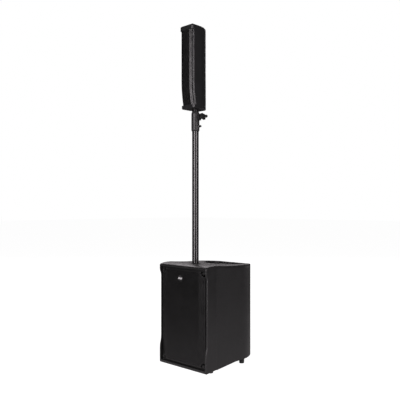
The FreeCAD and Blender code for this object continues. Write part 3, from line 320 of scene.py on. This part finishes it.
    s = Shader("copper", (0.55, 0.22, 0.09), 0.35, metallic=0.9)
    s.blotches(80.0, 0.3, 0.08)
    s.relief(s.noise(2200.0, 2.0, s.stretched((1.0, 1.0, 0.1))), 0.0002, 0.7)
    add("copper", s)

    s = Shader("brass", (0.62, 0.44, 0.2), 0.32, metallic=1.0).soft_edges(0.0005)
    s.blotches(150.0, -0.2, 0.08)
    s.relief(s.noise(1500.0, 2.0), 0.00005, 0.5)
    add("brass", s)

    s = Shader("spider_cloth", (0.3, 0.2, 0.09), 0.85, specular=0.2, sheen=0.2)
    s.tint(s.ramp(s.cells(900.0), 0.2, 0.6), (0.14, 0.09, 0.04))
    s.relief(s.cells(900.0), 0.0003, 0.8)
    add("spider_cloth", s)

    s = Shader("raw_wood", (0.5, 0.34, 0.19), 0.65, specular=0.3).soft_edges(0.001)
    grain = s.noise(60.0, 6.0, s.stretched((0.08, 1.0, 1.0)))
    s.tint(s.ramp(grain, 0.4, 0.62), (0.33, 0.2, 0.1))
    s.relief(grain, 0.0003, 0.6)
    # the rails' outer edge, which shows beside the rear panel, is painted
    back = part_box("rear_rails")[1].y
    s.tint(s.ramp(s.along("Y"), back - 0.04, back - 0.032), grey(0.012))
    add("raw_wood", s)

    s = Shader("board_green", (0.02, 0.09, 0.035), 0.35, specular=0.5, coat=0.3)
    s.tint(s.ramp(s.cells(260.0), 0.1, 0.16, 1.0, 0.0), (0.35, 0.3, 0.16))
    s.relief(s.noise(500.0, 2.0), 0.0002, 0.6)
    add("board_green", s)

    s = Shader("light_green", (0.1, 0.5, 0.16), 0.25, specular=0.5, coat=0.5)
    s.blotches(400.0, 0.5, 0.05)
    s.bsdf.inputs["Emission Color"].default_value = (0.1, 0.9, 0.2, 1.0)
    s.bsdf.inputs["Emission Strength"].default_value = 0.25
    add("light_green", s)
    return made


MATERIALS = make_materials()


def dress(obj, slot):
    """Gives an object the material of one of the record's slots."""
    obj.data.materials.clear()
    obj.data.materials.append(MATERIALS[slot])


for node_name, node in NODES.items():
    dress(node, SLOT_OF[node_name])


# ---- mesh helpers ----
def new_piece(name, node, bm, slot=None, smooth=False):
    """A finished piece that rides with a CAD node's body and stands for the node. slot changes its finish."""
    slot = slot or SLOT_OF[node]
    mesh = bpy.data.meshes.new(name)
    bm.to_mesh(mesh)
    bm.free()
    piece = bpy.data.objects.new(name, mesh)
    bpy.context.scene.collection.objects.link(piece)
    for face in mesh.polygons:
        face.use_smooth = smooth
    dress(piece, slot)
    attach(piece, NODES[node]["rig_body"])
    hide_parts(node)
    return piece


def perforated(columns, rows, pitch, hole, thickness, place, keep):
    """A closed sheet with a hexagonal hole in each brick of a staggered pattern.

    place(u, v, depth) gives a point of the sheet; keep(u, v) says whether a brick there is part of it.
    """
    bm = bmesh.new()
    row_h = pitch * math.cos(math.radians(30))
    cache = {}

    def corner(i, j, depth):
        key = (i, j, depth)
        if key not in cache:
            cache[key] = bm.verts.new(place(i * pitch / 2, j * row_h, depth))
        return cache[key]

    def rim(u, v, depth):
        angles = [math.radians(a) for a in (30, 90, 150, 210, 270, 330)]
        return [bm.verts.new(place(u + hole * math.cos(a), v + hole * math.sin(a), depth)) for a in angles]

    sides = {}
    for j in range(rows):
        for i in range(-columns + j % 2, columns - 1, 2):
            u, v = (i + 1) * pitch / 2, (j + 0.5) * row_h
            if not keep(u, v):
                continue
            outline = [(i + 2, j + 1), (i + 1, j + 1), (i, j + 1), (i, j), (i + 1, j), (i + 2, j)]
            front_outer = [corner(a, b, 0.0) for a, b in outline]
            back_outer = [corner(a, b, thickness) for a, b in outline]
            front_inner = rim(u, v, 0.0)
            back_inner = rim(u, v, thickness)
            for k in range(6):
                n = (k + 1) % 6
                bm.faces.new((front_outer[k], front_outer[n], front_inner[n], front_inner[k]))
                bm.faces.new((back_outer[n], back_outer[k], back_inner[k], back_inner[n]))
                bm.faces.new((front_inner[k], front_inner[n], back_inner[n], back_inner[k]))
                edge = frozenset((outline[k], outline[n]))
                wall = (front_outer[n], front_outer[k], back_outer[k], back_outer[n])
                sides[edge] = None if edge in sides else wall
    for wall in sides.values():
        if wall is not None:
            bm.faces.new(wall)
    bmesh.ops.recalc_face_normals(bm, faces=bm.faces)
    return bm


def sweep(bm, loops):
    """Adds a closed strip through a list of loops that all have the same number of points."""
    rings = [[bm.verts.new(point) for point in loop] for loop in loops]
    faces = [bm.faces.new(rings[0][::-1]), bm.faces.new(rings[-1])]
    for first, second in zip(rings, rings[1:]):
        for k in range(len(first)):
            n = (k + 1) % len(first)
            faces.append(bm.faces.new((first[k], first[n], second[n], second[k])))
    bmesh.ops.recalc_face_normals(bm, faces=faces)


def steps(low, high, count):
    """Evenly spaced values, both ends included."""
    return [low + (high - low) * k / count for k in range(count + 1)]


class Fold:
    """The cross-section of a grille: a flat middle and sides that fall back, given by the way along it."""

    def __init__(self, flat_half, edge_half, bevel):
        self.flat_half = flat_half
        self.edge_half = edge_half
        self.slope = math.atan2(bevel, edge_half - flat_half)
        self.reach = flat_half + math.hypot(bevel, edge_half - flat_half)

    def at(self, u, depth):
        """(x, how far behind the front) of a point of the sheet."""
        over = abs(u) - self.flat_half
        if over <= 0:
            return u, depth
        side = 1 if u > 0 else -1
        x = self.flat_half + over * math.cos(self.slope) - depth * math.sin(self.slope)
        return side * x, over * math.sin(self.slope) + depth * math.cos(self.slope)

    def margin(self, width, depth, thickness, side):
        """Outline of the plain edge of the sheet with its returned lip, as (x, distance behind the front)."""
        inner_u = self.reach - width
        edge_x, edge_back = self.at(self.reach, 0.0)
        lip = edge_x - thickness
        points = [self.at(inner_u, 0.0), (edge_x, edge_back), (edge_x, depth), (lip, depth),
                  (lip, edge_back + thickness), self.at(inner_u, thickness)]
        return [(side * x, back) for x, back in points]


# ---- stage, camera and light ----
POOL_CENTRE = (0.25, 0.1, 0.0)
POOL_RADIUS = 2.2
POOL_LIGHT = 0.48
LIGHT_COLOUR = (1.0, 0.94, 0.97)


def seen_and_lit(tree, output, seen, lit):
    """Joins two shaders: what the camera sees of the stage, and the light that the stage gives the object."""
    path = tree.nodes.new("ShaderNodeLightPath")
    mix = tree.nodes.new("ShaderNodeMixShader")
    tree.links.new(path.outputs["Is Camera Ray"], mix.inputs["Fac"])
    tree.links.new(lit.outputs[0], mix.inputs[1])
    tree.links.new(seen.outputs[0], mix.inputs[2])
    tree.links.new(mix.outputs[0], output.inputs["Surface"])


def build_stage():
    bpy.ops.mesh.primitive_plane_add(size=60.0, location=(0.0, 0.0, 0.0))
    floor = bpy.context.object
    floor.name = "floor"
    material = bpy.data.materials.new("floor_white")
    material.use_nodes = True
    tree = material.node_tree
    lit = tree.nodes["Principled BSDF"]
    lit.inputs["Base Color"].default_value = (0.12, 0.12, 0.12, 1.0)
    lit.inputs["Roughness"].default_value = 0.9
    lit.inputs["Specular IOR Level"].default_value = 0.0
    place = tree.nodes.new("ShaderNodeTexCoord")
    away = tree.nodes.new("ShaderNodeVectorMath")
    away.operation = "DISTANCE"
    away.inputs[1].default_value = POOL_CENTRE
    pool = tree.nodes.new("ShaderNodeMapRange")
    pool.interpolation_type = "SMOOTHSTEP"
    pool.inputs["From Min"].default_value = 0.4
    pool.inputs["From Max"].default_value = POOL_RADIUS
    pool.inputs["To Min"].default_value = POOL_LIGHT
    pool.inputs["To Max"].default_value = 0.02
    tree.links.new(place.outputs["Object"], away.inputs[0])
    tree.links.new(away.outputs["Value"], pool.inputs["Value"])
    tree.links.new(pool.outputs["Result"], lit.inputs["Emission Strength"])
    lit.inputs["Emission Color"].default_value = LIGHT_COLOUR + (1.0,)
    seen = tree.nodes.new("ShaderNodeBsdfPrincipled")
    seen.inputs["Base Color"].default_value = (0.35, 0.35, 0.35, 1.0)
    seen.inputs["Roughness"].default_value = 0.9
    seen.inputs["Specular IOR Level"].default_value = 0.0
    seen.inputs["Emission Color"].default_value = (1.0, 1.0, 1.0, 1.0)
    seen.inputs["Emission Strength"].default_value = 0.97
    seen_and_lit(tree, tree.nodes["Material Output"], seen, lit)
    floor.data.materials.append(material)

    world = bpy.data.worlds.new("studio")
    bpy.context.scene.world = world
    world.use_nodes = True
    tree = world.node_tree
    seen = tree.nodes["Background"]
    seen.inputs["Color"].default_value = (1.0, 1.0, 1.0, 1.0)
    seen.inputs["Strength"].default_value = 1.0
    lit = tree.nodes.new("ShaderNodeBackground")
    lit.inputs["Color"].default_value = LIGHT_COLOUR + (1.0,)
    lit.inputs["Strength"].default_value = 0.035
    seen_and_lit(tree, tree.nodes["World Output"], seen, lit)


def softbox(name, azimuth, elevation, distance, width, height, radiance, centre=(0.0, 0.0, 0.8)):
    """An area light round the object. Azimuth 0 is in front of it (-Y) and 90 on its right."""
    a, e = math.radians(azimuth), math.radians(elevation)
    way = Vector((math.sin(a) * math.cos(e), -math.cos(a) * math.cos(e), math.sin(e)))
    data = bpy.data.lights.new(name, "AREA")
    data.shape = "RECTANGLE"
    data.size = width
    data.size_y = height
    data.energy = radiance * math.pi * width * height
    data.color = LIGHT_COLOUR
    light = bpy.data.objects.new(name, data)
    light.location = Vector(centre) + way * distance
    light.rotation_mode = "QUATERNION"
    light.rotation_quaternion = (-way).to_track_quat("-Z", "Y")
    bpy.context.scene.collection.objects.link(light)
    return light


def build_lights():
    softbox("key_left", 7.0, 8.0, 4.0, 1.3, 3.0, 13.0, (0.0, 0.0, 1.0))
    softbox("key_right", 84.0, 6.0, 4.0, 1.0, 3.0, 10.0, (0.0, 0.0, 1.0))
    softbox("front_fill", 42.0, 10.0, 4.2, 1.6, 2.4, 1.6, (0.0, 0.0, 1.0))
    softbox("left_low", -72.0, 4.0, 3.5, 1.0, 1.4, 0.4, (0.0, 0.0, 0.4))
    softbox("right_rear_low", 168.0, 4.0, 3.5, 1.6, 0.8, 0.7, (0.0, 0.0, 0.1))
    softbox("back_top", 224.0, 34.0, 5.0, 4.0, 2.0, 3.0, (0.0, 0.0, 0.6))


def build_camera():
    data = bpy.data.cameras.new("photo_camera")
    data.sensor_width = 36.0
    data.lens = 49.56
    data.shift_y = 0.0175
    data.clip_end = 200.0
    camera = bpy.data.objects.new("photo_camera", data)
    camera.location = (2.0374, -2.2035, 0.838)
    camera.rotation_euler = (math.radians(90.0), 0.0, math.radians(43.8))
    bpy.context.scene.collection.objects.link(camera)
    bpy.context.scene.camera = camera


build_stage()
build_lights()
build_camera()
bpy.context.scene.view_settings.view_transform = "Standard"


# ---- perforated grilles ----
def build_woofer_grille():
    low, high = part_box("woofer_grille")
    fold = Fold(115.5 * MM, high.x, 6.7 * MM)
    depth = high.y - low.y
    thickness, margin = 1.3 * MM, 5.0 * MM
    boss_x, boss_inset, notch = 146 * MM, 9 * MM, 14.5 * MM
    boss_low, boss_high = low.z + boss_inset, high.z - boss_inset

    def point(x, back, z):
        return (x, low.y + back, z)

    def place(u, v, sunk):
        x, back = fold.at(u, sunk)
        return point(x, back, low.z + v)

    def inside(u, v):
        x, z = abs(u), low.z + v
        to_edge = min(fold.reach - x, z - low.z, high.z - z)
        from_boss = math.hypot(max(boss_x - x, 0.0), max(min(z - boss_low, boss_high - z), 0.0))
        return min(to_edge, from_boss - notch) > margin * 0.8

    pitch = 5.0 * MM
    columns = int(fold.reach * 2 / pitch)
    rows = int((high.z - low.z) / (pitch * math.cos(math.radians(30))))
    areas = {"middle": lambda u: abs(u) <= fold.flat_half, "left": lambda u: u < -fold.flat_half,
             "right": lambda u: u > fold.flat_half}
    for name, area in areas.items():
        bm = perforated(columns, rows, pitch, 1.85 * MM, thickness, place,
                        lambda u, v: area(u) and inside(u, v))
        if name == "middle":
            reach = boss_x - notch - 0.5 * MM
            for z in (low.z, high.z - margin):
                loops = []
                for u in (-reach, -fold.flat_half, fold.flat_half, reach):
                    corners = ((0.0, z), (0.0, z + margin), (thickness, z + margin), (thickness, z))
                    loops.append([point(*fold.at(u, sunk), level) for sunk, level in corners])
                sweep(bm, loops)
        else:
            side = -1 if name == "left" else 1
            outline = fold.margin(margin, depth, thickness, side)
            ends = (boss_low + notch + 0.5 * MM, boss_high - notch - 0.5 * MM)
            sweep(bm, [[point(x, back, z) for x, back in outline] for z in ends])
            for z, way in ((boss_low, 1), (boss_high, -1)):
                loops = []
                for angle in steps(math.pi / 2, math.pi, 12):
                    loop = []
                    outer = notch + margin
                    for radius, sunk in ((notch, 0.0), (outer, 0.0), (outer, thickness), (notch, thickness)):
                        x, back = fold.at(boss_x + radius * math.cos(angle), sunk)
                        loop.append(point(side * x, back, z + way * radius * math.sin(angle)))
                    loops.append(loop)
                sweep(bm, loops)
        new_piece("woofer_grille_" + name, "woofer_grille", bm)


def build_satellite_grille():
    low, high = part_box("satellite_grille")
    fold = Fold(22.5 * MM, high.x - 3.2 * MM, 6.1 * MM)
    depth = 8.4 * MM
    thickness, margin = 1.1 * MM, 2.4 * MM
    bend_z, bend_r = 1508 * MM, 690 * MM
    bend_angle = math.asin((bend_z - low.z) / bend_r)
    bend_length = bend_r * bend_angle
    length = bend_length + high.z - bend_z

    def point(x, back, v):
        if v >= bend_length:
            return (x, low.y + back, bend_z + v - bend_length)
        angle = (bend_length - v) / bend_r
        radius = bend_r - back
        return (x, low.y + bend_r - radius * math.cos(angle), bend_z - radius * math.sin(angle))

    def place(u, v, sunk):
        x, back = fold.at(u, sunk)
        return point(x, back, v)

    def inside(u, v):
        return abs(u) < fold.reach - margin * 0.8 and margin * 0.8 < v < length - margin * 0.8

    pitch = 3.8 * MM
    columns = int(fold.reach * 2 / pitch)
    rows = int(length / (pitch * math.cos(math.radians(30))))
    bm = perforated(columns, rows, pitch, 1.4 * MM, thickness, place, inside)
    for side in (-1, 1):
        outline = fold.margin(margin, depth, thickness, side)
        heights = steps(0.0, bend_length, 20) + [length]
        sweep(bm, [[point(x, back, v) for x, back in outline] for v in heights])
    reach = fold.reach - margin
    for v in (0.0, length - margin):
        loops = []
        for u in (-reach, -fold.flat_half, fold.flat_half, reach):
            corners = ((0.0, v), (0.0, v + margin), (thickness, v + margin), (thickness, v))
            loops.append([point(*fold.at(u, sunk), level) for sunk, level in corners])
        sweep(bm, loops)
    new_piece("satellite_grille_mesh", "satellite_grille", bm)


def build_foam():
    """The sheet of open foam behind the woofer grille, with its pores as bumps in its front."""
    low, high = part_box("grille_foam")
    cell = 5 * MM
    across, up = int((high.x - low.x) / cell), int((high.z - low.z) / cell)
    step_x, step_z = (high.x - low.x) / across, (high.z - low.z) / up
    clear = 26 * MM

    def kept(i, j):
        x, z = low.x + (i + 0.5) * step_x, low.z + (j + 0.5) * step_z
        near_side = min(x - low.x, high.x - x) < clear - 4 * MM
        return not (near_side and min(z - low.z, high.z - z) < clear - 4 * MM)

    bm = bmesh.new()
    cache = {}

    def vertex(i, j, back):
        key = (i, j, back)
        if key not in cache:
            x, z = low.x + i * step_x, low.z + j * step_z
            wave = math.sin(i * 2.1 + math.sin(j * 1.3)) * math.cos(j * 1.7 + math.sin(i * 0.9))
            dent = 0.6 * MM * (0.5 + 0.5 * wave)
            cache[key] = bm.verts.new((x, high.y if back else low.y + dent, z))
        return cache[key]

    kept_cells = {(i, j) for i in range(across) for j in range(up) if kept(i, j)}
    for i, j in kept_cells:
        ring = [(i, j), (i + 1, j), (i + 1, j + 1), (i, j + 1)]
        bm.faces.new([vertex(a, b, False) for a, b in ring])
        bm.faces.new([vertex(a, b, True) for a, b in reversed(ring)])
        beside = ((i, j - 1), (i + 1, j), (i, j + 1), (i - 1, j))
        for k, neighbour in enumerate(beside):
            if neighbour not in kept_cells:
                first, second = ring[k], ring[(k + 1) % 4]
                front_side = [vertex(*second, False), vertex(*first, False)]
                back_side = [vertex(*first, True), vertex(*second, True)]
                bm.faces.new(front_side + back_side)
    bmesh.ops.recalc_face_normals(bm, faces=bm.faces)
    foam = new_piece("grille_foam_sheet", "grille_foam", bm, smooth=True)


def turned_ring(bm, centre, outline, count=64):
    """Adds a solid turned about a front-to-back line through centre, from an outline of (radius, y)."""
    rings = []
    for k in range(count):
        angle = 2 * math.pi * k / count
        across, up = math.cos(angle), math.sin(angle)
        rings.append([bm.verts.new((centre.x + r * across, y, centre.z + r * up)) for r, y in outline])
    faces = []
    for k in range(count):
        first, second = rings[k], rings[(k + 1) % count]
        for m in range(len(outline)):
            n = (m + 1) % len(outline)
            faces.append(bm.faces.new((first[m], first[n], second[n], second[m])))
    bmesh.ops.recalc_face_normals(bm, faces=faces)


def rounded_bar(bm, centre, half_x, half_z, front, back, roll, count=10):
    """Adds a bar with round ends and a rolled front edge, long way across."""
    loops = []
    for inset, y in ((0.0, back), (0.0, front + roll), (roll * 0.3, front + roll * 0.3), (roll, front)):
        loop = []
        r = half_z - inset
        for side in (1, -1):
            for angle in steps(-math.pi / 2, math.pi / 2, count):
                x = side * (half_x - half_z + r * math.cos(angle))
                loop.append((centre.x + x, y, centre.z + side * r * math.sin(angle)))
        loops.append(loop)
    sweep(bm, loops)


def build_badge():
    """A round badge: a dark dished disc with a thin rim and a plain bright bar across the middle."""
    low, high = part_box("badge")
    centre = (low + high) / 2
    radius, front, back = (high.x - low.x) / 2, low.y, high.y
    core = 0.2 * MM
    rim_top = front + 0.6 * MM
    outline = [(radius, back), (radius, front + 1.2 * MM), (radius - 0.5 * MM, rim_top),
               (radius - 1.4 * MM, rim_top), (radius - 2.2 * MM, front + 1.3 * MM),
               (core, front + 1.0 * MM), (core, back)]
    disc = bmesh.new()
    turned_ring(disc, centre, outline)
    new_piece("badge_disc", "badge", disc, "socket_black")
    half_length, half_height, roll = radius - 2.0 * MM, 5.0 * MM, 0.7 * MM
    bar = bmesh.new()
    rounded_bar(bar, centre, half_length, half_height, front, front + 1.1 * MM, roll)
    new_piece("badge_bar", "badge", bar)


def lathe_across(bm, start, outline, count=32):
    """Adds a solid turned about a left-to-right line from start, from an outline of (way along, radius)."""
    loops = []
    for along, radius in outline:
        loops.append([(start.x + along, start.y + radius * math.cos(2 * math.pi * k / count),
                       start.z + radius * math.sin(2 * math.pi * k / count)) for k in range(count)])
    sweep(bm, loops)


def build_index_pin():
    """The index pin: a steel shaft and a moulded black pull with a ball end."""
    low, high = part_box("index_pin")
    middle = (low + high) / 2
    start = Vector((low.x, middle.y, middle.z))
    ball = (high.z - low.z) / 2
    length = high.x - low.x
    shaft_r, chamfer, neck_r = 3.0 * MM, 1.0 * MM, 3.9 * MM
    shaft = bmesh.new()
    lathe_across(shaft, start, [(0.0, shaft_r - chamfer), (chamfer, shaft_r), (length - 2 * ball, shaft_r)])
    new_piece("index_pin_shaft", "index_pin", shaft, "steel")
    pull = bmesh.new()
    neck = length - 2 * ball - 1.0 * MM
    outline = [(neck, neck_r), (neck + 1.2 * MM, neck_r)]
    for angle in steps(math.radians(138), math.radians(8), 16):
        outline.append((length - ball + ball * math.cos(angle), ball * math.sin(angle)))
    lathe_across(pull, start, outline)
    new_piece("index_pin_pull", "index_pin", pull, "knob_black", smooth=True)


build_woofer_grille()
build_satellite_grille()
build_foam()
build_badge()
build_index_pin()
